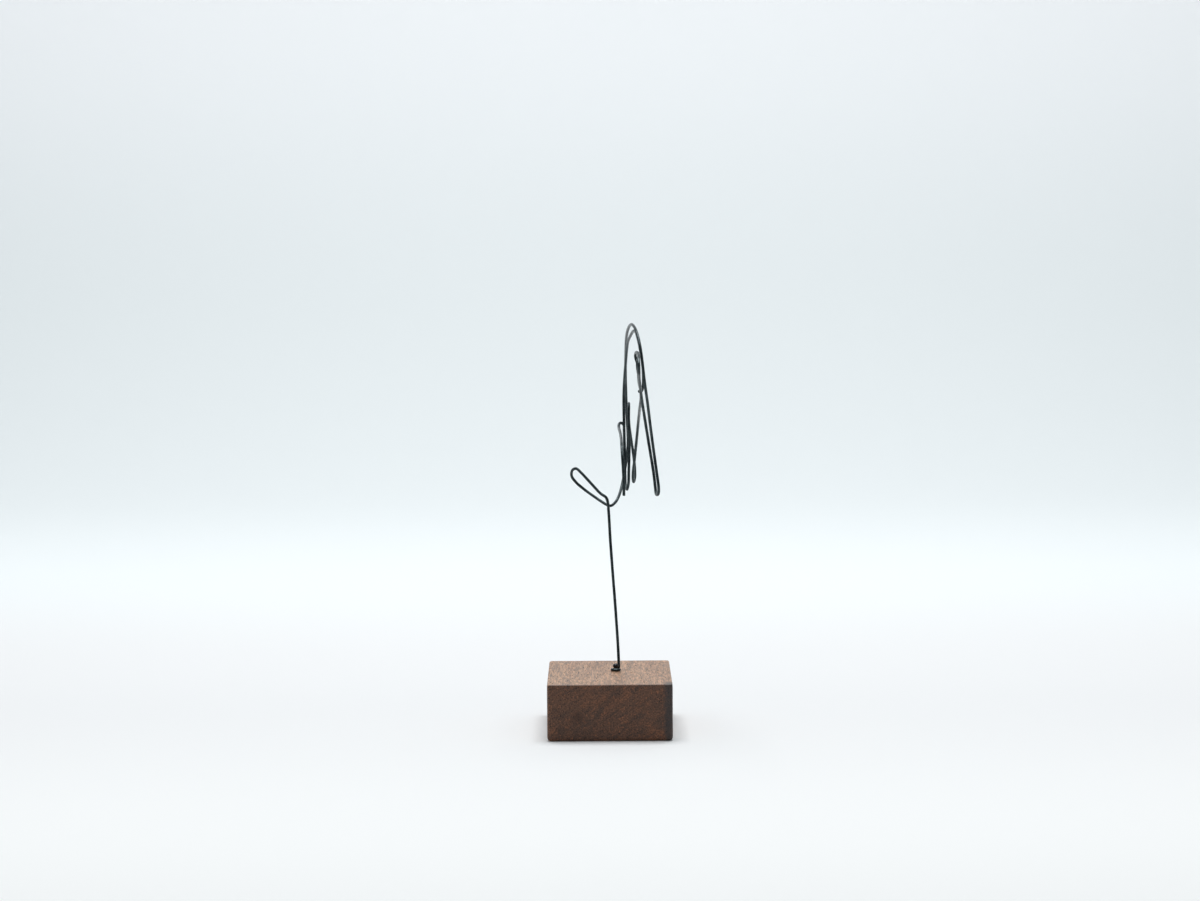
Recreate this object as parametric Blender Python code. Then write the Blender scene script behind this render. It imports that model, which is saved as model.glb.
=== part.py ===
"""A small animal bent from dark steel wire, held by a pin on a walnut block.

The animal faces -Y. X runs across the block, Y along it and Z up. Sizes are in millimetres
until an object is made.
"""

import math

import bmesh
import bpy
from mathutils import Vector

MM = 0.001

# Walnut block
BLOCK_WIDTH = 50.0
BLOCK_LENGTH = 75.0
BLOCK_HEIGHT = 22.6
EASED_EDGE = 1.1
PILOT_HOLE_DIAMETER = 1.9
PILOT_HOLE_DEPTH = 13.0

# Wire
WIRE_DIAMETER = 1.2
LONGEST_RUN = 3.0
MOST_TURN = math.radians(21.0)
SAMPLE_STEP = 0.2

# Eye of the long wire, lying flat on the block round the pin
RESTING_GAP = 0.3
EYE_X = 2.55
EYE_Y = 4.0
EYE_Z = BLOCK_HEIGHT + RESTING_GAP + WIRE_DIAMETER / 2
EYE_BEND_RADIUS = 1.55
EYE_START = 5.0
EYE_SWEEP = 275.0
EYE_STEPS = 11
RISE_BEND_RADIUS = 1.2
RISE_STEPS = 4
RISE_START_X = EYE_X + 0.1

# Pin
PIN_SHANK_DIAMETER = 1.3
PIN_DEPTH = 12.0
PIN_HEAD_DIAMETER = 2.4
PIN_HEAD_EDGE = 0.5
PIN_HEAD_HEIGHT = 1.4
PIN_TIP_TAPER = 1.5
PIN_UNDERSIDE = EYE_Z + WIRE_DIAMETER / 2 + RESTING_GAP
ROUND_STEPS = 24

# Places the long wire passes, in order along it
STEM = (
    (3.8, 5.9, 26.4),
    (3.6, 7.2, 31.7),
    (2.7, 10.0, 46.6),
    (1.7, 12.8, 60.7),
    (0.7, 15.7, 75.3),
    (0.1, 18.2, 86.8),
    (-0.3, 19.3, 91.0),
)
TUFT = (
    (-1.0, 19.7, 92.6),
    (-3.2, 20.8, 94.1),
    (-6.7, 22.8, 97.7),
    (-11.4, 25.6, 102.6),
    (-13.2, 27.0, 104.0),
    (-14.8, 28.3, 103.2),
    (-15.1, 29.0, 100.8),
    (-13.4, 29.2, 98.2),
    (-9.9, 28.4, 95.2),
    (-5.7, 26.2, 92.3),
    (-2.5, 23.7, 90.3),
    (-0.6, 22.3, 89.3),
)
TAIL = (
    (0.9, 23.0, 88.8),
    (2.8, 25.4, 89.9),
    (4.5, 28.8, 92.6),
    (5.8, 33.0, 96.7),
    (6.8, 36.6, 101.5),
    (7.7, 39.4, 106.5),
    (8.3, 41.2, 111.4),
    (8.4, 41.5, 116.4),
    (8.1, 41.0, 122.3),
    (7.8, 39.8, 129.9),
)
BACK = (
    (7.6, 38.4, 137.9),
    (7.5, 35.9, 144.3),
    (7.6, 30.2, 150.7),
    (7.7, 21.0, 156.5),
    (8.0, 10.6, 160.4),
    (8.7, 1.6, 163.2),
    (9.7, -5.6, 164.6),
    (10.7, -11.8, 163.9),
    (11.6, -17.2, 161.9),
    (12.5, -21.6, 158.6),
    (13.3, -25.2, 153.9),
)
RIGHT_FORE_LEG = (
    (13.9, -27.2, 148.8),
    (14.6, -26.9, 142.4),
    (15.7, -25.2, 134.3),
    (16.7, -24.0, 125.9),
    (17.9, -24.0, 116.3),
    (19.2, -25.2, 106.5),
    (20.0, -26.0, 100.0),
    (19.9, -24.6, 97.6),
    (19.1, -21.8, 97.1),
    (18.8, -19.8, 99.3),
    (18.1, -18.8, 105.5),
    (16.8, -18.2, 113.9),
    (15.3, -17.6, 123.5),
    (14.0, -18.4, 131.9),
    (13.4, -20.2, 136.1),
)
HEAD = (
    (13.1, -23.2, 138.8),
    (12.7, -28.2, 141.5),
    (12.4, -35.0, 144.6),
    (12.3, -40.1, 147.1),
    (12.2, -41.5, 149.5),
    (12.1, -38.6, 152.0),
    (12.2, -34.2, 153.7),
    (11.7, -30.4, 154.3),
)
EAR_CURL = (
    (11.2, -27.2, 154.0),
    (11.0, -25.3, 152.7),
    (11.3, -25.5, 151.2),
    (11.7, -27.2, 149.9),
)
JAW = (
    (11.75, -27.6, 148.2),
    (12.1, -25.4, 145.7),
    (12.45, -20.9, 141.9),
    (13.05, -16.8, 138.7),
)
RIGHT_BELLY = (
    (13.3, -12.4, 135.5),
    (13.1, -5.5, 132.4),
    (12.9, 3.0, 129.7),
    (12.8, 13.0, 126.9),
    (12.5, 22.0, 123.0),
    (12.1, 26.6, 118.2),
    (11.5, 29.2, 112.2),
    (10.9, 30.8, 106.4),
)
RIGHT_HIND_LEG = (
    (10.4, 32.0, 102.1),
    (10.3, 32.8, 99.6),
    (10.6, 34.6, 97.7),
    (11.1, 36.6, 99.1),
    (11.2, 37.8, 102.4),
    (10.7, 38.3, 108.2),
    (9.8, 37.8, 114.3),
    (9.0, 36.0, 120.3),
    (8.6, 32.6, 126.6),
    (8.6, 29.4, 129.8),
)
HIP = (
    (8.7, 26.6, 130.9),
    (8.7, 24.0, 130.0),
    (8.6, 22.4, 125.5),
    (8.8, 21.6, 118.1),
    (8.7, 20.8, 109.9),
    (8.5, 19.8, 103.0),
    (8.3, 19.0, 98.1),
)
LEFT_HIND_LEG = (
    (7.75, 20.4, 95.8),
    (7.15, 23.2, 97.1),
    (7.0, 25.4, 101.7),
    (7.0, 28.8, 109.4),
    (6.8, 32.0, 117.5),
    (6.7, 33.8, 125.7),
)
INNER_BACK = (
    (6.7, 34.4, 133.5),
    (7.0, 32.8, 140.3),
    (7.5, 28.4, 147.1),
    (7.9, 22.6, 152.5),
    (8.4, 15.4, 156.7),
    (9.45, 7.2, 159.6),
    (10.55, -0.4, 161.7),
    (11.35, -6.4, 161.7),
    (12.0, -12.0, 159.9),
    (12.7, -16.2, 156.9),
    (13.5, -18.8, 152.0),
    (14.1, -19.8, 147.0),
    (14.2, -20.2, 143.0),
)
TIE_HOOK = (
    (14.1, -20.3, 140.8),
    (13.8, -20.1, 139.2),
    (13.3, -19.8, 138.2),
    (12.75, -19.4, 138.1),
    (12.4, -18.9, 138.4),
)

# Places the short wire passes
CROOK = (
    (6.7, 30.5, 120.5),
    (6.7, 31.2, 121.5),
    (6.1, 31.2, 122.3),
    (5.3, 30.2, 122.6),
    (4.65, 28.4, 122.1),
    (4.55, 25.8, 120.9),
)
LEFT_BELLY = (
    (4.9, 19.0, 119.9),
    (5.2, 10.0, 118.7),
    (5.4, 1.0, 117.4),
    (5.5, -6.4, 115.2),
)
LEFT_FORE_LEG = (
    (5.7, -10.8, 111.4),
    (6.0, -12.6, 106.3),
    (6.2, -13.2, 100.7),
    (6.2, -13.6, 95.9),
)


def clear_scene():
    """Remove every object that is already there."""
    for thing in list(bpy.data.objects):
        bpy.data.objects.remove(thing)


def make_material(name, colour, roughness, metallic):
    """A plain surface with its own colour, roughness and metal share."""
    material = bpy.data.materials.new(name)
    material.use_nodes = True
    surface = material.node_tree.nodes["Principled BSDF"]
    surface.inputs["Base Color"].default_value = (*colour, 1.0)
    surface.inputs["Roughness"].default_value = roughness
    surface.inputs["Metallic"].default_value = metallic
    return material


def add_object(name, data, material):
    """Put the finished shape into the scene under its own name."""
    data.materials.append(material)
    thing = bpy.data.objects.new(name, data)
    bpy.context.scene.collection.objects.link(thing)
    return thing


def mesh_from(shape, name):
    """Turn an edited shape into mesh data."""
    bmesh.ops.recalc_face_normals(shape, faces=shape.faces)
    mesh = bpy.data.meshes.new(name)
    shape.to_mesh(mesh)
    shape.free()
    return mesh


def eye_loop():
    """The flat ring round the pin and the short bend that rises from it into the stem."""
    places = []
    for step in range(EYE_STEPS + 1):
        angle = math.radians(EYE_START - EYE_SWEEP * step / EYE_STEPS)
        across = EYE_X + EYE_BEND_RADIUS * math.cos(angle)
        along = EYE_Y + EYE_BEND_RADIUS * math.sin(angle)
        places.append((across, along, EYE_Z))
    for step in range(1, RISE_STEPS + 1):
        angle = math.radians(90.0) * step / RISE_STEPS
        across = RISE_START_X + RISE_BEND_RADIUS * math.sin(angle)
        up = EYE_Z + RISE_BEND_RADIUS * (1.0 - math.cos(angle))
        places.append((across, EYE_Y + EYE_BEND_RADIUS, up))
    return places


def between(before, start, end, after):
    """Evenly spaced samples of the smooth bend from start up to, but not including, end."""
    first = math.sqrt((start - before).length)
    second = first + math.sqrt((end - start).length)
    third = second + math.sqrt((after - end).length)
    steps = max(2, math.ceil((end - start).length / SAMPLE_STEP))
    samples = []
    for step in range(steps):
        t = first + (second - first) * step / steps
        a1 = before.lerp(start, t / first)
        a2 = start.lerp(end, (t - first) / (second - first))
        a3 = end.lerp(after, (t - second) / (third - second))
        b1 = a1.lerp(a2, t / second)
        b2 = a2.lerp(a3, (t - first) / (third - first))
        samples.append(b1.lerp(b2, (t - first) / (second - first)))
    return samples


def bent_through(places):
    """Close samples of one smooth line that passes through every place in order."""
    stops = [Vector(place) for place in places]
    lead_in = 2.0 * stops[0] - stops[1]
    run_out = 2.0 * stops[-1] - stops[-2]
    stops = [lead_in, *stops, run_out]
    line = []
    for before, start, end, after in zip(stops, stops[1:], stops[2:], stops[3:]):
        line.extend(between(before, start, end, after))
    line.append(stops[-2])
    return line


def thinned(line):
    """Keep a sample only where the line has turned, or run on, far enough since the last."""
    kept = [line[0]]
    turned = 0.0
    for before, here, after in zip(line, line[1:], line[2:]):
        turned += (here - before).angle(after - here)
        if turned > MOST_TURN or (here - kept[-1]).length > LONGEST_RUN:
            kept.append(here)
            turned = 0.0
    kept.append(line[-1])
    return kept


def make_wire(name, places, material):
    """A round wire with cut ends, bent through the given places."""
    line = thinned(bent_through(places))
    curve = bpy.data.curves.new(name, "CURVE")
    curve.dimensions = "3D"
    curve.twist_mode = "MINIMUM"
    curve.bevel_depth = WIRE_DIAMETER / 2 * MM
    curve.bevel_resolution = 3
    curve.use_fill_caps = True
    spline = curve.splines.new("POLY")
    spline.points.add(len(line) - 1)
    spline.use_smooth = True
    for point, place in zip(spline.points, line):
        point.co = (*(place * MM), 1.0)
    return add_object(name, curve, material)


def make_drill(name, diameter, bottom, top):
    """A plain cylinder that cuts the pilot hole and isn't part of the object."""
    shape = bmesh.new()
    bmesh.ops.create_cone(
        shape,
        cap_ends=True,
        segments=ROUND_STEPS,
        radius1=diameter / 2 * MM,
        radius2=diameter / 2 * MM,
        depth=(top - bottom) * MM,
    )
    middle = Vector((EYE_X, EYE_Y, (top + bottom) / 2)) * MM
    bmesh.ops.translate(shape, verts=shape.verts, vec=middle)
    drill = bpy.data.objects.new(name, mesh_from(shape, name))
    bpy.context.scene.collection.objects.link(drill)
    drill.hide_render = True
    drill.display_type = "WIRE"
    return drill


def make_block(material):
    """The block with its eased edges and the pilot hole in its top."""
    shape = bmesh.new()
    bmesh.ops.create_cube(shape, size=1.0)
    size = Vector((BLOCK_WIDTH, BLOCK_LENGTH, BLOCK_HEIGHT)) * MM
    bmesh.ops.scale(shape, verts=shape.verts, vec=size)
    bmesh.ops.translate(shape, verts=shape.verts, vec=(0.0, 0.0, BLOCK_HEIGHT / 2 * MM))
    block = add_object("wood_block", mesh_from(shape, "wood_block"), material)
    eased = block.modifiers.new("eased_edges", "BEVEL")
    eased.width = EASED_EDGE * MM
    eased.segments = 3
    eased.limit_method = "ANGLE"
    drilled = block.modifiers.new("pilot_hole", "BOOLEAN")
    drilled.operation = "DIFFERENCE"
    drilled.solver = "EXACT"
    drilled.object = make_drill(
        "pilot_drill",
        PILOT_HOLE_DIAMETER,
        BLOCK_HEIGHT - PILOT_HOLE_DEPTH,
        BLOCK_HEIGHT + 5.0,
    )
    return block


def pin_outline():
    """Half of the pin's section as radius and height, from the tip up to the crown."""
    shank = PIN_SHANK_DIAMETER / 2
    head = PIN_HEAD_DIAMETER / 2
    tip = BLOCK_HEIGHT - PIN_DEPTH
    dome = PIN_HEAD_HEIGHT - PIN_HEAD_EDGE
    outline = [
        (0.0, tip),
        (shank * 0.35, tip),
        (shank, tip + PIN_TIP_TAPER),
        (shank, PIN_UNDERSIDE),
        (head, PIN_UNDERSIDE),
    ]
    steps = 6
    for step in range(steps + 1):
        angle = math.radians(90.0) * step / steps
        height = PIN_UNDERSIDE + PIN_HEAD_EDGE + dome * math.sin(angle)
        outline.append((head * math.cos(angle), height))
    return outline


def make_pin(material):
    """The round-headed pin, turned about its own upright axis."""
    shape = bmesh.new()
    centre = Vector((EYE_X, EYE_Y, 0.0)) * MM
    corners = []
    for radius, height in pin_outline():
        corners.append(shape.verts.new(centre + Vector((radius, 0.0, height)) * MM))
    edges = []
    for low, high in zip(corners, corners[1:]):
        edges.append(shape.edges.new((low, high)))
    bmesh.ops.spin(
        shape,
        geom=corners + edges,
        cent=centre,
        axis=(0.0, 0.0, 1.0),
        angle=math.radians(360.0),
        steps=ROUND_STEPS,
        use_merge=True,
    )
    bmesh.ops.remove_doubles(shape, verts=shape.verts, dist=0.001 * MM)
    mesh = mesh_from(shape, "round_head_pin")
    mesh.shade_smooth()
    return add_object("round_head_pin", mesh, material)


clear_scene()
walnut = make_material("walnut", (0.085, 0.047, 0.032), 0.45, 0.0)
annealed_steel = make_material("annealed_steel", (0.045, 0.047, 0.050), 0.42, 0.9)
black_steel = make_material("black_steel", (0.02, 0.02, 0.02), 0.35, 0.8)

LONG_WIRE = (
    *eye_loop(),
    *STEM,
    *TUFT,
    *TAIL,
    *BACK,
    *RIGHT_FORE_LEG,
    *HEAD,
    *EAR_CURL,
    *JAW,
    *RIGHT_BELLY,
    *RIGHT_HIND_LEG,
    *HIP,
    *LEFT_HIND_LEG,
    *INNER_BACK,
    *TIE_HOOK,
)
SHORT_WIRE = (*CROOK, *LEFT_BELLY, *LEFT_FORE_LEG)

make_block(walnut)
make_wire("figure_wire", LONG_WIRE, annealed_steel)
make_wire("leg_wire", SHORT_WIRE, annealed_steel)
make_pin(black_steel)
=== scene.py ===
"""A wire animal on a walnut block: finished pieces, stage, lights and camera.

The animal faces -Y, X runs across the block and Z is up. Bend tables are in millimetres.
"""

import math

import bmesh
import bpy
from bpy.props import FloatProperty, FloatVectorProperty, IntProperty, PointerProperty
from mathutils import Matrix, Vector


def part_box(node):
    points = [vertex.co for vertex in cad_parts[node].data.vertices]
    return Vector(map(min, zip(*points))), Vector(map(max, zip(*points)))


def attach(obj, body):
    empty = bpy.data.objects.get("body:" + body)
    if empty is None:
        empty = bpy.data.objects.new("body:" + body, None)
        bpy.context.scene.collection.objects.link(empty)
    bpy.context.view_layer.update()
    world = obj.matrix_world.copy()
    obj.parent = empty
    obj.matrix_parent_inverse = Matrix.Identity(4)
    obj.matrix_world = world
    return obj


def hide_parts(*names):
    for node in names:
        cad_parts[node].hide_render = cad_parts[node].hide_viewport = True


bl_info = {
    "name": "Wire Animal on a Walnut Block",
    "version": (1, 0, 0),
    "blender": (4, 5, 0),
    "location": "3D View > Sidebar > Wire Animal",
    "description": "Adds the walnut block, the bent wires, the pin and a plain stage",
    "category": "Add Mesh",
}

MM = 0.001

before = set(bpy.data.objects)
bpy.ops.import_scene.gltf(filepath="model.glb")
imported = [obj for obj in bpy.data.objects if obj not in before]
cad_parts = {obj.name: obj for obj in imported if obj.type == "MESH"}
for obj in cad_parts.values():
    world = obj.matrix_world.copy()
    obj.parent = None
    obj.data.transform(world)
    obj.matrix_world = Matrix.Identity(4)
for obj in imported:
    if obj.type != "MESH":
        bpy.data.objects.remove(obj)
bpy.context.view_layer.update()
BLOCK_LOW, BLOCK_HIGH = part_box("wood_block")
PIN_LOW, PIN_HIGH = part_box("round_head_pin")
BLOCK_TOP = BLOCK_HIGH.z / MM
EYE_X = (PIN_LOW.x + PIN_HIGH.x) / 2 / MM
EYE_Y = (PIN_LOW.y + PIN_HIGH.y) / 2 / MM

# Eye of the long wire, resting on the block round the pin
EYE_LIFT = 0.62
EYE_Z = BLOCK_TOP + EYE_LIFT
EYE_BEND_RADIUS = 1.55
EYE_START = 5.0
EYE_SWEEP = 275.0
EYE_STEPS = 22
RISE_SHIFT = 0.1
RISE_BEND_RADIUS = 1.2
RISE_STEPS = 8
SAMPLE_STEP = 0.5
CUT_END_SHARE = 0.86

# Pin
PIN_HEAD_LIFT = 1.25
PIN_SHANK_RADIUS = 0.65
PIN_TIP_TAPER = 1.5
PIN_TIP_SHARE = 0.35
PIN_ROUND_STEPS = 48

# Sweep, light and camera, in metres
SWEEP_HALF_WIDTH = 4.0
SWEEP_FRONT = -4.0
SWEEP_BACK = 1.0
SWEEP_RADIUS = 0.6
SWEEP_WALL = 1.6
SWEEP_STEPS = 20
LIGHT_SIDE = 1.0
LIGHT_PLACE = (0.0, 0.30, 1.6)
LIGHT_TINT = (0.97, 0.99, 1.0)
GLOW_TINT = (0.86, 0.93, 1.0)
GLOW_STRENGTH = 0.22
CAMERA_PLACE = (-0.0033, -1.417, 0.2124)
CAMERA_TILT = math.radians(86.0)
CAMERA_ROLL = math.radians(-0.365)
CAMERA_LENS = 105.0

# Places the long wire passes, in order along it
STEM = (
    (3.8, 5.9, 26.4),
    (3.6, 7.2, 31.7),
    (2.7, 10.0, 46.6),
    (1.7, 12.8, 60.7),
    (0.7, 15.7, 75.3),
    (0.1, 18.2, 86.8),
    (-0.3, 19.3, 91.0),
)
TUFT = (
    (-1.0, 19.7, 92.6),
    (-3.2, 20.8, 94.1),
    (-6.7, 22.8, 97.7),
    (-11.4, 25.6, 102.6),
    (-13.2, 27.0, 104.0),
    (-14.8, 28.3, 103.2),
    (-15.1, 29.0, 100.8),
    (-13.4, 29.2, 98.2),
    (-9.9, 28.4, 95.2),
    (-5.7, 26.2, 92.3),
    (-2.5, 23.7, 90.3),
    (-0.6, 22.3, 89.3),
)
TAIL = (
    (0.9, 23.0, 88.8),
    (2.8, 25.4, 89.9),
    (4.5, 28.8, 92.6),
    (5.8, 33.0, 96.7),
    (6.8, 36.6, 101.5),
    (7.7, 39.4, 106.5),
    (8.3, 41.2, 111.4),
    (8.4, 41.5, 116.4),
    (8.1, 41.0, 122.3),
    (7.8, 39.8, 129.9),
)
BACK = (
    (7.6, 38.4, 137.9),
    (7.5, 35.9, 144.3),
    (7.6, 30.2, 150.7),
    (7.7, 21.0, 156.5),
    (8.0, 10.6, 160.4),
    (8.7, 1.6, 163.2),
    (9.7, -5.6, 164.6),
    (10.7, -11.8, 163.9),
    (11.6, -17.2, 161.9),
    (12.5, -21.6, 158.6),
    (13.3, -25.2, 153.9),
)
RIGHT_FORE_LEG = (
    (13.9, -27.2, 148.8),
    (14.6, -26.9, 142.4),
    (15.7, -25.2, 134.3),
    (16.7, -24.0, 125.9),
    (17.9, -24.0, 116.3),
    (19.2, -25.2, 106.5),
    (20.0, -26.0, 100.0),
    (19.9, -24.6, 97.6),
    (19.1, -21.8, 97.1),
    (18.8, -19.8, 99.3),
    (18.1, -18.8, 105.5),
    (16.8, -18.2, 113.9),
    (15.3, -17.6, 123.5),
    (14.0, -18.4, 131.9),
    (13.4, -20.2, 136.1),
)
HEAD = (
    (13.1, -23.2, 138.8),
    (12.7, -28.2, 141.5),
    (12.4, -35.0, 144.6),
    (12.3, -40.1, 147.1),
    (12.2, -41.5, 149.5),
    (12.1, -38.6, 152.0),
    (12.2, -34.2, 153.7),
    (11.7, -30.4, 154.3),
)
EAR_CURL = (
    (11.2, -27.2, 154.0),
    (11.0, -25.3, 152.7),
    (11.3, -25.5, 151.2),
    (11.7, -27.2, 149.9),
)
JAW = (
    (11.75, -27.6, 148.2),
    (12.1, -25.4, 145.7),
    (12.45, -20.9, 141.9),
    (13.05, -16.8, 138.7),
)
RIGHT_BELLY = (
    (13.3, -12.4, 135.5),
    (13.1, -5.5, 132.4),
    (12.9, 3.0, 129.7),
    (12.8, 13.0, 126.9),
    (12.5, 22.0, 123.0),
    (12.1, 26.6, 118.2),
    (11.5, 29.2, 112.2),
    (10.9, 30.8, 106.4),
)
RIGHT_HIND_LEG = (
    (10.4, 32.0, 102.1),
    (10.3, 32.8, 99.6),
    (10.6, 34.6, 97.7),
    (11.1, 36.6, 99.1),
    (11.2, 37.8, 102.4),
    (10.7, 38.3, 108.2),
    (9.8, 37.8, 114.3),
    (9.0, 36.0, 120.3),
    (8.6, 32.6, 126.6),
    (8.6, 29.4, 129.8),
)
HIP = (
    (8.7, 26.6, 130.9),
    (8.7, 24.0, 130.0),
    (8.6, 22.4, 125.5),
    (8.8, 21.6, 118.1),
    (8.7, 20.8, 109.9),
    (8.5, 19.8, 103.0),
    (8.3, 19.0, 98.1),
)
LEFT_HIND_LEG = (
    (7.75, 20.4, 95.8),
    (7.15, 23.2, 97.1),
    (7.0, 25.4, 101.7),
    (7.0, 28.8, 109.4),
    (6.8, 32.0, 117.5),
    (6.7, 33.8, 125.7),
)
INNER_BACK = (
    (6.7, 34.4, 133.5),
    (7.0, 32.8, 140.3),
    (7.5, 28.4, 147.1),
    (7.9, 22.6, 152.5),
    (8.4, 15.4, 156.7),
    (9.45, 7.2, 159.6),
    (10.55, -0.4, 161.7),
    (11.35, -6.4, 161.7),
    (12.0, -12.0, 159.9),
    (12.7, -16.2, 156.9),
    (13.5, -18.8, 152.0),
    (14.1, -19.8, 147.0),
    (14.2, -20.2, 143.0),
)
TIE_HOOK = (
    (14.1, -20.3, 140.8),
    (13.8, -20.1, 139.2),
    (13.3, -19.8, 138.2),
    (12.75, -19.4, 138.1),
    (12.4, -18.9, 138.4),
)

# Places the short wire passes
CROOK = (
    (6.7, 30.5, 120.5),
    (6.7, 31.2, 121.5),
    (6.1, 31.2, 122.3),
    (5.3, 30.2, 122.6),
    (4.65, 28.4, 122.1),
    (4.55, 25.8, 120.9),
)
LEFT_BELLY = (
    (4.9, 19.0, 119.9),
    (5.2, 10.0, 118.7),
    (5.4, 1.0, 117.4),
    (5.5, -6.4, 115.2),
)
LEFT_FORE_LEG = (
    (5.7, -10.8, 111.4),
    (6.0, -12.6, 106.3),
    (6.2, -13.2, 100.7),
    (6.2, -13.6, 95.9),
)


class BlockSettings(bpy.types.PropertyGroup):
    """Sizes and colours of the walnut block"""

    eased_edge: FloatProperty(
        name="Eased Edge",
        description="Radius sanded onto the upright and bottom edges",
        default=0.0015,
        min=0.0002,
        max=0.004,
        subtype="DISTANCE",
        unit="LENGTH",
    )
    top_edge: FloatProperty(
        name="Top Edge",
        description="Smaller radius sanded onto the top edges",
        default=0.0006,
        min=0.0002,
        max=0.002,
        subtype="DISTANCE",
        unit="LENGTH",
    )
    streak_lean: FloatProperty(
        name="Streak Lean",
        description="How steeply the dark streaks climb across the end grain",
        default=math.radians(37.0),
        subtype="ANGLE",
    )
    heartwood: FloatVectorProperty(
        name="Heartwood",
        description="Main brown of the end grain",
        default=(0.130, 0.060, 0.034),
        subtype="COLOR",
    )
    # Painted sheen: the top gets a paler brown than the long sides, standing in for the light and
    # grazing sheen on it.
    top_tone_with_painted_sheen: FloatVectorProperty(
        name="Top With Painted Sheen",
        description="Paler brown of the top, a painted sheen",
        default=(0.385, 0.228, 0.141),
        subtype="COLOR",
    )
    side_grain: FloatVectorProperty(
        name="Side Grain",
        description="Middle brown of the long sides",
        default=(0.240, 0.128, 0.080),
        subtype="COLOR",
    )
    streak: FloatVectorProperty(
        name="Streak",
        description="Dark streaks between the growth rings",
        default=(0.040, 0.026, 0.020),
        subtype="COLOR",
    )
    rust: FloatVectorProperty(
        name="Rust Patch",
        description="Warm reddish patches in the end grain",
        default=(0.235, 0.092, 0.042),
        subtype="COLOR",
    )


class WireSettings(bpy.types.PropertyGroup):
    """Sizes and colours of the bent wires"""

    diameter: FloatProperty(
        name="Wire Diameter",
        description="Thickness of the round annealed wire",
        default=0.0012,
        min=0.0008,
        max=0.0014,
        subtype="DISTANCE",
        unit="LENGTH",
    )
    sides: IntProperty(
        name="Roundness",
        description="How finely the wire is rounded",
        default=6,
        min=2,
        max=8,
    )
    scale_dark: FloatVectorProperty(
        name="Dark Scale",
        description="Darkest tone of the annealing scale",
        default=(0.018, 0.027, 0.030),
        subtype="COLOR",
    )
    scale_pale: FloatVectorProperty(
        name="Worn Scale",
        description="Paler tone where handling has rubbed the scale",
        default=(0.070, 0.090, 0.094),
        subtype="COLOR",
    )


class PinSettings(bpy.types.PropertyGroup):
    """Sizes and colours of the round-headed pin"""

    head_diameter: FloatProperty(
        name="Head Diameter",
        description="Width of the pin's domed head",
        default=0.0024,
        min=0.002,
        max=0.0024,
        subtype="DISTANCE",
        unit="LENGTH",
    )
    blackening: FloatVectorProperty(
        name="Blackening",
        description="Tone of the blackened steel",
        default=(0.022, 0.022, 0.024),
        subtype="COLOR",
    )


class StageSettings(bpy.types.PropertyGroup):
    """Tones and lights of the stage"""

    near_glow: FloatVectorProperty(
        name="Near Glow",
        description="Light added by the floor in front of the block",
        default=(0.147, 0.152, 0.143),
        subtype="COLOR",
    )
    far_glow: FloatVectorProperty(
        name="Far Glow",
        description="Light added by the floor and the sweep far behind the block",
        default=(0.046, 0.080, 0.085),
        subtype="COLOR",
    )
    top_glow: FloatVectorProperty(
        name="Top Glow",
        description="Light added by the upper sweep",
        default=(0.173, 0.188, 0.201),
        subtype="COLOR",
    )
    overhead_power: FloatProperty(
        name="Overhead Light",
        description="Power of the wide light above the block",
        default=26.2,
        min=0.0,
        unit="POWER",
    )


def linked(name, data):
    """Put a new object at the origin of the scene."""
    thing = bpy.data.objects.new(name, data)
    bpy.context.scene.collection.objects.link(thing)
    return thing


def shaped_mesh(shape, name):
    """Turn an edited shape with outward faces into mesh data."""
    bmesh.ops.recalc_face_normals(shape, faces=shape.faces)
    mesh = bpy.data.meshes.new(name)
    shape.to_mesh(mesh)
    shape.free()
    return mesh


def new_material(name):
    """An empty node material and its Principled surface."""
    material = bpy.data.materials.new(name)
    material.use_nodes = True
    surface = material.node_tree.nodes["Principled BSDF"]
    return material, surface


def add_node(tree, kind, **settings):
    """Add a shader node with the given settings."""
    node = tree.nodes.new(kind)
    for key, value in settings.items():
        setattr(node, key, value)
    return node


def stretched(tree, source, name, scale, turn=(0.0, 0.0, 0.0), shift=(0.0, 0.0, 0.0)):
    """Scale, turn and shift a pattern's coordinates."""
    mapping = add_node(tree, "ShaderNodeMapping", name=name)
    mapping.inputs["Scale"].default_value = scale
    mapping.inputs["Rotation"].default_value = turn
    mapping.inputs["Location"].default_value = shift
    tree.links.new(source, mapping.inputs["Vector"])
    return mapping.outputs["Vector"]


def noise(tree, source, name, scale, detail=4.0, roughness=0.55, distortion=0.0):
    """A cloudy pattern's value."""
    cloud = add_node(tree, "ShaderNodeTexNoise", name=name)
    cloud.inputs["Scale"].default_value = scale
    cloud.inputs["Detail"].default_value = detail
    cloud.inputs["Roughness"].default_value = roughness
    cloud.inputs["Distortion"].default_value = distortion
    tree.links.new(source, cloud.inputs["Vector"])
    return cloud.outputs["Fac"]


def cells(tree, source, name, scale, randomness=1.0):
    """Distance to the nearest point, and a random colour for it, in a scatter of points."""
    scatter = add_node(tree, "ShaderNodeTexVoronoi", name=name)
    scatter.inputs["Scale"].default_value = scale
    scatter.inputs["Randomness"].default_value = randomness
    tree.links.new(source, scatter.inputs["Vector"])
    return scatter.outputs["Distance"], scatter.outputs["Color"]


def graded(tree, source, name, low, high, start=0.0, end=1.0):
    """Turn values from low to high into values from start to end, smoothly."""
    grade = add_node(tree, "ShaderNodeMapRange", name=name, interpolation_type="SMOOTHSTEP")
    grade.inputs["From Min"].default_value = low
    grade.inputs["From Max"].default_value = high
    grade.inputs["To Min"].default_value = start
    grade.inputs["To Max"].default_value = end
    tree.links.new(source, grade.inputs["Value"])
    return grade.outputs["Result"]


def sums(tree, operation, first, second):
    """One arithmetic step on values or plain numbers."""
    step = add_node(tree, "ShaderNodeMath", operation=operation)
    for socket, value in zip(step.inputs, (first, second)):
        if isinstance(value, (int, float)):
            socket.default_value = value
        else:
            tree.links.new(value, socket)
    return step.outputs["Value"]


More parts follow.
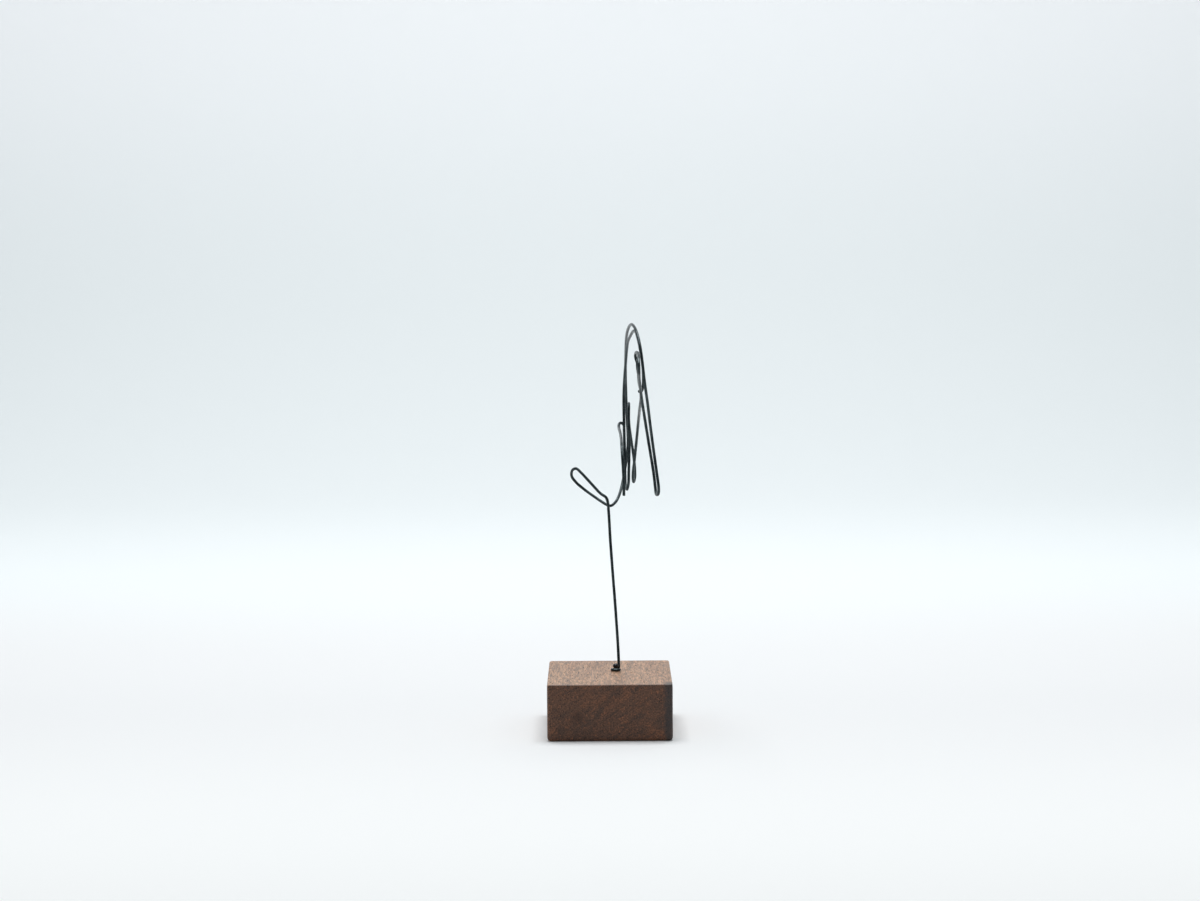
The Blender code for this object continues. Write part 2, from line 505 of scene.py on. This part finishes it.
def blended(tree, share, first, second, mode="MIX"):
    """Blend two colours by a share."""
    mix = add_node(tree, "ShaderNodeMix", data_type="RGBA", blend_type=mode)
    pairs = ((mix.inputs[0], share), (mix.inputs[6], first), (mix.inputs[7], second))
    for socket, value in pairs:
        if isinstance(value, bpy.types.NodeSocket):
            tree.links.new(value, socket)
        elif isinstance(value, (int, float)):
            socket.default_value = value
        else:
            socket.default_value = (*value, 1.0)
    return mix.outputs[2]


def bumped(tree, height, surface, strength, distance):
    """Raise and dent the surface by a height pattern."""
    bump = add_node(tree, "ShaderNodeBump")
    bump.inputs["Strength"].default_value = strength
    bump.inputs["Distance"].default_value = distance
    tree.links.new(height, bump.inputs["Height"])
    tree.links.new(bump.outputs["Normal"], surface.inputs["Normal"])


def walnut_finish(settings):
    """Oiled walnut: slanted streaks and a small knot on the ends, a top painted paler as sheen, dark
    pores.
    """
    material, surface = new_material("oiled_walnut")
    tree = material.node_tree
    place = add_node(tree, "ShaderNodeTexCoord").outputs["Object"]
    in_mm = stretched(tree, place, "millimetres", (1000.0, 1000.0, 1000.0))
    slanted = stretched(
        tree, place, "along_streaks", (1000.0, 1000.0, 1000.0), (0.0, settings.streak_lean, 0.0)
    )
    split = add_node(tree, "ShaderNodeSeparateXYZ")
    tree.links.new(in_mm, split.inputs["Vector"])
    x_mm, y_mm, z_mm = split.outputs

    from_middle = sums(tree, "ABSOLUTE", y_mm, 0.0)
    ends = graded(tree, from_middle, "end_grain", 36.2, 37.2)
    calm = graded(tree, from_middle, "calm_long_grain", 36.2, 37.2, 0.30, 1.0)

    streak_space = stretched(tree, slanted, "streak_stretch", (0.10, 0.018, 0.42))
    streaks = noise(tree, streak_space, "streaks", 1.0, 6.0, 0.62, 0.5)
    fine_space = stretched(tree, slanted, "fine_stretch", (0.30, 0.02, 1.9))
    fine = noise(tree, fine_space, "fine_streaks", 1.0, 5.0, 0.6, 0.2)
    patch_space = stretched(tree, in_mm, "patch_stretch", (0.16, 0.012, 0.16), shift=(3.1, 0.0, 7.7))
    patches = noise(tree, patch_space, "rust_patches", 1.0, 3.0, 0.5, 0.3)
    fleck_space = stretched(tree, in_mm, "fibre_stretch", (1.7, 0.16, 1.7))
    fibres = noise(tree, fleck_space, "fibres", 1.0, 3.0, 0.7)

    ring_dark = graded(tree, streaks, "ring_dark", 0.42, 0.66, 0.0, 0.62)
    ring_dark = sums(tree, "MULTIPLY", ring_dark, calm)
    fine_dark = graded(tree, fine, "fine_dark", 0.40, 0.68, 0.0, 0.42)
    fine_dark = sums(tree, "MULTIPLY", fine_dark, calm)
    rust_share = graded(tree, patches, "rust_share", 0.46, 0.72, 0.0, 0.7)
    rust_share = sums(tree, "MULTIPLY", rust_share, calm)
    # Painted sheen: the top and its upper edge take the paler top tone in place of the side tone.
    top = graded(tree, z_mm, "top_painted_sheen", BLOCK_TOP - 1.2, BLOCK_TOP - 0.3)
    colour = blended(tree, top, tuple(settings.side_grain), tuple(settings.top_tone_with_painted_sheen))
    colour = blended(tree, ends, colour, tuple(settings.heartwood))
    colour = blended(tree, rust_share, colour, tuple(settings.rust))
    colour = blended(tree, ring_dark, colour, tuple(settings.streak))
    colour = blended(tree, fine_dark, colour, tuple(settings.streak))
    orange_space = stretched(
        tree, in_mm, "orange_stretch", (1.25, 0.2, 1.25), shift=(9.0, 0.0, 4.0)
    )
    orange = noise(tree, orange_space, "orange_flecks", 1.0, 3.0, 0.75)
    orange_share = graded(tree, orange, "orange_share", 0.54, 0.66, 0.0, 0.85)
    orange_share = sums(tree, "MULTIPLY", orange_share, calm)
    colour = blended(tree, orange_share, colour, tuple(settings.rust))
    lift = graded(tree, fibres, "fibre_lift", 0.3, 0.72, 0.45, 1.80)
    brightness = add_node(tree, "ShaderNodeHueSaturation")
    tree.links.new(lift, brightness.inputs["Value"])
    tree.links.new(colour, brightness.inputs["Color"])
    colour = brightness.outputs["Color"]

    front = graded(tree, y_mm, "near_front", -34.0, -24.0, 1.0, 0.0)
    edge_wave = sums(tree, "MULTIPLY", noise(tree, in_mm, "edge_wave", 0.35), 2.2)
    edge_place = sums(tree, "ADD", x_mm, edge_wave)
    edge_band = sums(tree, "MULTIPLY", graded(tree, edge_place, "edge_band", 22.0, 24.0), front)
    edge_band = sums(tree, "MULTIPLY", edge_band, 0.8)
    colour = blended(tree, edge_band, colour, (0.036, 0.033, 0.033))

    knot_x = sums(tree, "ADD", x_mm, 13.0)
    knot_z = sums(tree, "SUBTRACT", z_mm, 9.6)
    knot_wave = sums(tree, "MULTIPLY", noise(tree, in_mm, "knot_wave", 0.4), 2.4)
    knot_across = sums(tree, "MULTIPLY", knot_x, knot_x)
    knot_up = sums(tree, "MULTIPLY", knot_z, knot_z)
    knot_far = sums(tree, "SQRT", sums(tree, "ADD", knot_across, knot_up), 0.0)
    knot_far = sums(tree, "ADD", knot_far, knot_wave)
    knot = sums(tree, "MULTIPLY", graded(tree, knot_far, "knot", 1.4, 4.8, 0.75, 0.0), front)
    colour = blended(tree, knot, colour, (0.062, 0.026, 0.014))

    pore_space = stretched(tree, in_mm, "pore_stretch", (1.15, 0.20, 1.15))
    pore_far, pore_kind = cells(tree, pore_space, "pores", 1.0)
    pore_pick = add_node(tree, "ShaderNodeSeparateColor")
    tree.links.new(pore_kind, pore_pick.inputs["Color"])
    pore_some = graded(tree, pore_pick.outputs["Red"], "some_pores", 0.22, 0.32)
    pore = graded(tree, pore_far, "pore_width", 0.14, 0.30, 1.0, 0.0)
    pore = sums(tree, "MULTIPLY", pore, pore_some)
    pore_depth = sums(tree, "MULTIPLY", pore, 0.8)
    colour = blended(tree, pore_depth, colour, (0.012, 0.009, 0.008))

    fleck_far, fleck_kind = cells(tree, in_mm, "pale_flecks", 0.42)
    fleck_pick = add_node(tree, "ShaderNodeSeparateColor")
    tree.links.new(fleck_kind, fleck_pick.inputs["Color"])
    fleck_some = graded(tree, fleck_pick.outputs["Green"], "some_flecks", 0.66, 0.68)
    fleck = graded(tree, fleck_far, "fleck_width", 0.07, 0.13, 0.7, 0.0)
    fleck = sums(tree, "MULTIPLY", fleck, fleck_some)
    colour = blended(tree, fleck, colour, (0.42, 0.38, 0.34))

    tree.links.new(colour, surface.inputs["Base Color"])
    rough = graded(tree, fibres, "sheen_patches", 0.3, 0.7, 0.42, 0.54)
    rough = sums(tree, "ADD", rough, sums(tree, "MULTIPLY", pore, 0.25))
    tree.links.new(rough, surface.inputs["Roughness"])
    surface.inputs["Specular IOR Level"].default_value = 0.35
    height = sums(tree, "SUBTRACT", sums(tree, "MULTIPLY", fibres, 0.35), pore)
    bumped(tree, height, surface, 0.5, 0.00006)
    return material


def scale_finish(name, dark, pale, roughness):
    """Annealed steel wire: dark scale, rubbed paler in places, with a soft shine."""
    material, surface = new_material(name)
    tree = material.node_tree
    place = add_node(tree, "ShaderNodeTexCoord").outputs["Object"]
    in_mm = stretched(tree, place, "millimetres", (1000.0, 1000.0, 1000.0))
    rubbed = noise(tree, in_mm, "rubbed", 0.22, 5.0, 0.6, 0.4)
    mottle = noise(tree, in_mm, "mottle", 2.6, 4.0, 0.65)
    pits = noise(tree, in_mm, "pits", 7.0, 3.0, 0.7)
    warm = noise(tree, in_mm, "warm_specks", 1.1, 4.0, 0.7, 0.6)
    rubbed_share = graded(tree, rubbed, "rubbed_share", 0.35, 0.68)
    mottle_share = graded(tree, mottle, "mottle_share", 0.2, 0.75, 0.45, 1.0)
    share = sums(tree, "MULTIPLY", rubbed_share, mottle_share)
    colour = blended(tree, share, dark, pale)
    warm_share = graded(tree, warm, "warm_share", 0.66, 0.78, 0.0, 0.25)
    colour = blended(tree, warm_share, colour, (0.085, 0.052, 0.034))
    tree.links.new(colour, surface.inputs["Base Color"])
    surface.inputs["Metallic"].default_value = 0.65
    rough = graded(tree, mottle, "shine", 0.3, 0.7, roughness - 0.06, roughness + 0.10)
    tree.links.new(rough, surface.inputs["Roughness"])
    bumped(tree, pits, surface, 0.35, 0.00003)
    return material


def stage_finish(settings):
    """A pale sweep that glows more the farther it is from the block."""
    material, surface = new_material("pale_sweep")
    tree = material.node_tree
    place = add_node(tree, "ShaderNodeTexCoord").outputs["Object"]
    split = add_node(tree, "ShaderNodeSeparateXYZ")
    tree.links.new(place, split.inputs["Vector"])
    far = graded(tree, split.outputs["Y"], "far", 0.22, 0.66)
    up = graded(tree, split.outputs["Z"], "up", 0.12, 0.42)
    front = graded(tree, split.outputs["Y"], "front", -0.30, 0.10, 1.0, 0.0)
    colour = blended(tree, front, (0.0, 0.0, 0.0), tuple(settings.near_glow))
    colour = blended(tree, far, colour, tuple(settings.far_glow))
    colour = blended(tree, up, colour, tuple(settings.top_glow))
    surface.inputs["Base Color"].default_value = (0.80, 0.80, 0.80, 1.0)
    surface.inputs["Roughness"].default_value = 0.9
    surface.inputs["Specular IOR Level"].default_value = 0.0
    tree.links.new(colour, surface.inputs["Emission Color"])
    surface.inputs["Emission Strength"].default_value = 1.0
    return material


def eye_loop():
    """The flat ring round the pin and the short bend that rises from it into the stem."""
    places = []
    for step in range(EYE_STEPS + 1):
        angle = math.radians(EYE_START - EYE_SWEEP * step / EYE_STEPS)
        across = EYE_X + EYE_BEND_RADIUS * math.cos(angle)
        along = EYE_Y + EYE_BEND_RADIUS * math.sin(angle)
        places.append((across, along, EYE_Z))
    for step in range(1, RISE_STEPS + 1):
        angle = math.radians(90.0) * step / RISE_STEPS
        across = EYE_X + RISE_SHIFT + RISE_BEND_RADIUS * math.sin(angle)
        up = EYE_Z + RISE_BEND_RADIUS * (1.0 - math.cos(angle))
        places.append((across, EYE_Y + EYE_BEND_RADIUS, up))
    return places


def between(before, start, end, after):
    """Even samples of the smooth bend from start up to, but not including, end."""
    first = math.sqrt((start - before).length)
    second = first + math.sqrt((end - start).length)
    third = second + math.sqrt((after - end).length)
    steps = max(2, math.ceil((end - start).length / SAMPLE_STEP))
    samples = []
    for step in range(steps):
        t = first + (second - first) * step / steps
        a1 = before.lerp(start, t / first)
        a2 = start.lerp(end, (t - first) / (second - first))
        a3 = end.lerp(after, (t - second) / (third - second))
        b1 = a1.lerp(a2, t / second)
        b2 = a2.lerp(a3, (t - first) / (third - first))
        samples.append(b1.lerp(b2, (t - first) / (second - first)))
    return samples


def bent_through(places):
    """Close samples of one smooth line that passes through every place in order."""
    stops = [Vector(place) for place in places]
    stops = [2.0 * stops[0] - stops[1], *stops, 2.0 * stops[-1] - stops[-2]]
    line = []
    for before, start, end, after in zip(stops, stops[1:], stops[2:], stops[3:]):
        line.extend(between(before, start, end, after))
    line.append(stops[-2])
    return line


def plier_nip(place):
    """How far the pliers have nipped the wire here, as a share of its thickness."""
    on_jaw = -28.2 < place.y < -16.5 and 139.0 < place.z < 151.0 and place.x < 12.2
    if on_jaw:
        return 0.05 * (1.0 + math.sin(place.z * 4.2))
    return 0.012 * (1.0 + math.sin(place.z * 0.7 + place.y * 0.45))


def wire_piece(name, places, settings, finish):
    """A round wire with slightly rounded cut ends."""
    line = bent_through(places)
    curve = bpy.data.curves.new(name, "CURVE")
    curve.dimensions = "3D"
    curve.twist_mode = "MINIMUM"
    curve.bevel_depth = settings.diameter / 2
    curve.bevel_resolution = settings.sides
    curve.use_fill_caps = True
    spline = curve.splines.new("POLY")
    spline.points.add(len(line) - 1)
    spline.use_smooth = True
    for point, place in zip(spline.points, line):
        point.co = (*(place * MM), 1.0)
        point.radius = 1.0 - plier_nip(place)
    spline.points[0].radius = CUT_END_SHARE
    spline.points[-1].radius = CUT_END_SHARE
    curve.materials.append(finish)
    return linked(name, curve)


def ease_edges(shape, edges, radius):
    """Round the given edges off."""
    bmesh.ops.bevel(
        shape,
        geom=edges,
        affect="EDGES",
        offset=radius,
        segments=6,
        profile=0.5,
        material=-1,
    )


class ADD_OT_walnut_block(bpy.types.Operator):
    """Add the solid walnut block with its eased edges"""

    bl_idname = "wire_animal.walnut_block"
    bl_label = "Walnut Block"
    bl_options = {"REGISTER", "UNDO"}

    def execute(self, context):
        settings = context.scene.walnut_block_settings
        shape = bmesh.new()
        bmesh.ops.create_cube(shape, size=1.0)
        size = BLOCK_HIGH - BLOCK_LOW
        bmesh.ops.scale(shape, verts=shape.verts, vec=size)
        bmesh.ops.translate(shape, verts=shape.verts, vec=(BLOCK_HIGH + BLOCK_LOW) / 2)
        level = BLOCK_HIGH.z - 0.01 * MM
        lower = [edge for edge in shape.edges if min(corner.co.z for corner in edge.verts) < level]
        ease_edges(shape, lower, settings.eased_edge)
        upper = [edge for edge in shape.edges if min(corner.co.z for corner in edge.verts) > level]
        ease_edges(shape, upper, settings.top_edge)
        mesh = shaped_mesh(shape, "walnut_block")
        mesh.shade_smooth()
        mesh.materials.append(walnut_finish(settings))
        block = linked("walnut_block", mesh)
        smooth = block.modifiers.new("even_shading", "WEIGHTED_NORMAL")
        smooth.keep_sharp = True
        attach(block, "root")
        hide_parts("wood_block")
        return {"FINISHED"}


class ADD_OT_bent_wires(bpy.types.Operator):
    """Add the long wire and the short hooked leg wire"""

    bl_idname = "wire_animal.bent_wires"
    bl_label = "Bent Wires"
    bl_options = {"REGISTER", "UNDO"}

    def execute(self, context):
        settings = context.scene.bent_wire_settings
        dark = tuple(settings.scale_dark)
        pale = tuple(settings.scale_pale)
        finish = scale_finish("annealed_scale", dark, pale, 0.28)
        long_wire = (
            *eye_loop(),
            *STEM,
            *TUFT,
            *TAIL,
            *BACK,
            *RIGHT_FORE_LEG,
            *HEAD,
            *EAR_CURL,
            *JAW,
            *RIGHT_BELLY,
            *RIGHT_HIND_LEG,
            *HIP,
            *LEFT_HIND_LEG,
            *INNER_BACK,
            *TIE_HOOK,
        )
        short_wire = (*CROOK, *LEFT_BELLY, *LEFT_FORE_LEG)
        for name, node, places in (
            ("long_wire", "figure_wire", long_wire),
            ("short_wire", "leg_wire", short_wire),
        ):
            wire = wire_piece(name, places, settings, finish)
            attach(wire, "root")
            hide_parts(node)
        return {"FINISHED"}


class ADD_OT_round_head_pin(bpy.types.Operator):
    """Add the domed pin that holds the wire's eye to the block"""

    bl_idname = "wire_animal.round_head_pin"
    bl_label = "Round-head Pin"
    bl_options = {"REGISTER", "UNDO"}

    def execute(self, context):
        settings = context.scene.round_head_pin_settings
        centre = Vector((EYE_X, EYE_Y, 0.0)) * MM
        underside = BLOCK_HIGH.z + PIN_HEAD_LIFT * MM
        middle = (underside + PIN_HIGH.z) / 2
        head = settings.head_diameter / 2
        shank = PIN_SHANK_RADIUS * MM
        outline = [
            (0.0, PIN_LOW.z),
            (shank * PIN_TIP_SHARE, PIN_LOW.z),
            (shank, PIN_LOW.z + PIN_TIP_TAPER * MM),
            (shank, underside),
        ]
        for step in range(16):
            angle = math.radians(10.0 * step - 60.0)
            height = middle + (PIN_HIGH.z - middle) * math.sin(angle)
            outline.append((head * math.cos(angle), height))
        shape = bmesh.new()
        corners = []
        for radius, height in outline:
            corners.append(shape.verts.new(centre + Vector((radius, 0.0, height))))
        edges = []
        for low, high in zip(corners, corners[1:]):
            edges.append(shape.edges.new((low, high)))
        bmesh.ops.spin(
            shape,
            geom=corners + edges,
            cent=centre,
            axis=(0.0, 0.0, 1.0),
            angle=math.radians(360.0),
            steps=PIN_ROUND_STEPS,
            use_merge=True,
        )
        bmesh.ops.remove_doubles(shape, verts=shape.verts, dist=0.001 * MM)
        mesh = shaped_mesh(shape, "domed_pin")
        mesh.shade_smooth()
        pale = tuple(tone * 2.2 for tone in settings.blackening)
        mesh.materials.append(scale_finish("blackened_pin", tuple(settings.blackening), pale, 0.26))
        pin = linked("domed_pin", mesh)
        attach(pin, "root")
        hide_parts("round_head_pin")
        return {"FINISHED"}


class ADD_OT_pale_stage(bpy.types.Operator):
    """Add the pale sweep, the soft lights and the camera"""

    bl_idname = "wire_animal.pale_stage"
    bl_label = "Pale Stage"
    bl_options = {"REGISTER", "UNDO"}

    def execute(self, context):
        settings = context.scene.pale_stage_settings
        add_sweep(settings)
        add_lights(settings)
        add_camera()
        return {"FINISHED"}


def add_sweep(settings):
    """A floor that curves up into a backdrop behind the block."""
    shape = bmesh.new()
    left = shape.verts.new((-SWEEP_HALF_WIDTH, SWEEP_FRONT, 0.0))
    right = shape.verts.new((SWEEP_HALF_WIDTH, SWEEP_FRONT, 0.0))
    edge = shape.edges.new((left, right))
    grown = bmesh.ops.extrude_edge_only(shape, edges=[edge])["geom"]
    line = [part for part in grown if isinstance(part, bmesh.types.BMVert)]
    bmesh.ops.translate(shape, verts=line, vec=(0.0, SWEEP_BACK - SWEEP_FRONT, 0.0))
    ends = [part for part in grown if isinstance(part, bmesh.types.BMEdge)]
    far_edge = [part for part in ends if all(corner in line for corner in part.verts)]
    spun = bmesh.ops.spin(
        shape,
        geom=line + far_edge,
        cent=(0.0, SWEEP_BACK, SWEEP_RADIUS),
        axis=(1.0, 0.0, 0.0),
        angle=math.radians(90.0),
        steps=SWEEP_STEPS,
        use_merge=False,
    )["geom_last"]
    top = [part for part in spun if isinstance(part, bmesh.types.BMEdge)]
    grown = bmesh.ops.extrude_edge_only(shape, edges=top)["geom"]
    line = [part for part in grown if isinstance(part, bmesh.types.BMVert)]
    bmesh.ops.translate(shape, verts=line, vec=(0.0, 0.0, SWEEP_WALL))
    mesh = shaped_mesh(shape, "sweep")
    mesh.shade_smooth()
    mesh.materials.append(stage_finish(settings))
    sweep = linked("sweep", mesh)


def add_lights(settings):
    """A wide overhead light and an even glow from all round."""
    scene = bpy.context.scene
    overhead = bpy.data.lights.new("overhead", "AREA")
    overhead.shape = "RECTANGLE"
    overhead.size = LIGHT_SIDE
    overhead.size_y = LIGHT_SIDE
    overhead.energy = settings.overhead_power
    overhead.color = LIGHT_TINT
    lamp = linked("overhead", overhead)
    lamp.location = LIGHT_PLACE
    world = bpy.data.worlds.new("even_glow")
    world.use_nodes = True
    glow = world.node_tree.nodes["Background"]
    glow.inputs["Color"].default_value = (*GLOW_TINT, 1.0)
    glow.inputs["Strength"].default_value = GLOW_STRENGTH
    scene.world = world


def add_camera():
    """A long-lens camera a little above the animal, looking along +Y."""
    scene = bpy.context.scene
    view = bpy.data.cameras.new("front_camera")
    view.lens = CAMERA_LENS
    view.sensor_width = 36.0
    view.clip_start = 0.05
    view.clip_end = 20.0
    camera = linked("front_camera", view)
    tilt = Matrix.Rotation(CAMERA_TILT, 4, "X")
    roll = Matrix.Rotation(CAMERA_ROLL, 4, "Z")
    camera.matrix_world = Matrix.Translation(CAMERA_PLACE) @ tilt @ roll
    scene.camera = camera
    scene.view_settings.view_transform = "Standard"


class VIEW3D_PT_wire_animal(bpy.types.Panel):
    """Lists the pieces of the wire animal"""

    bl_label = "Wire Animal"
    bl_space_type = "VIEW_3D"
    bl_region_type = "UI"
    bl_category = "Wire Animal"

    def draw(self, context):
        scene = context.scene
        for settings, operator in (
            (scene.walnut_block_settings, ADD_OT_walnut_block),
            (scene.bent_wire_settings, ADD_OT_bent_wires),
            (scene.round_head_pin_settings, ADD_OT_round_head_pin),
            (scene.pale_stage_settings, ADD_OT_pale_stage),
        ):
            box = self.layout.box()
            box.operator(operator.bl_idname)
            for key in settings.__annotations__:
                box.prop(settings, key)


SETTINGS = (
    ("walnut_block_settings", BlockSettings),
    ("bent_wire_settings", WireSettings),
    ("round_head_pin_settings", PinSettings),
    ("pale_stage_settings", StageSettings),
)
OPERATORS = (
    ADD_OT_walnut_block,
    ADD_OT_bent_wires,
    ADD_OT_round_head_pin,
    ADD_OT_pale_stage,
)


def register():
    for name, group in SETTINGS:
        bpy.utils.register_class(group)
        setattr(bpy.types.Scene, name, PointerProperty(type=group))
    for operator in OPERATORS:
        bpy.utils.register_class(operator)
    bpy.utils.register_class(VIEW3D_PT_wire_animal)


def unregister():
    bpy.utils.unregister_class(VIEW3D_PT_wire_animal)
    for operator in reversed(OPERATORS):
        bpy.utils.unregister_class(operator)
    for name, group in reversed(SETTINGS):
        delattr(bpy.types.Scene, name)
        bpy.utils.unregister_class(group)


def main():
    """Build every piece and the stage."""
    register()
    bpy.ops.wire_animal.walnut_block()
    bpy.ops.wire_animal.bent_wires()
    bpy.ops.wire_animal.round_head_pin()
    bpy.ops.wire_animal.pale_stage()


if __name__ == "__main__":
    main()
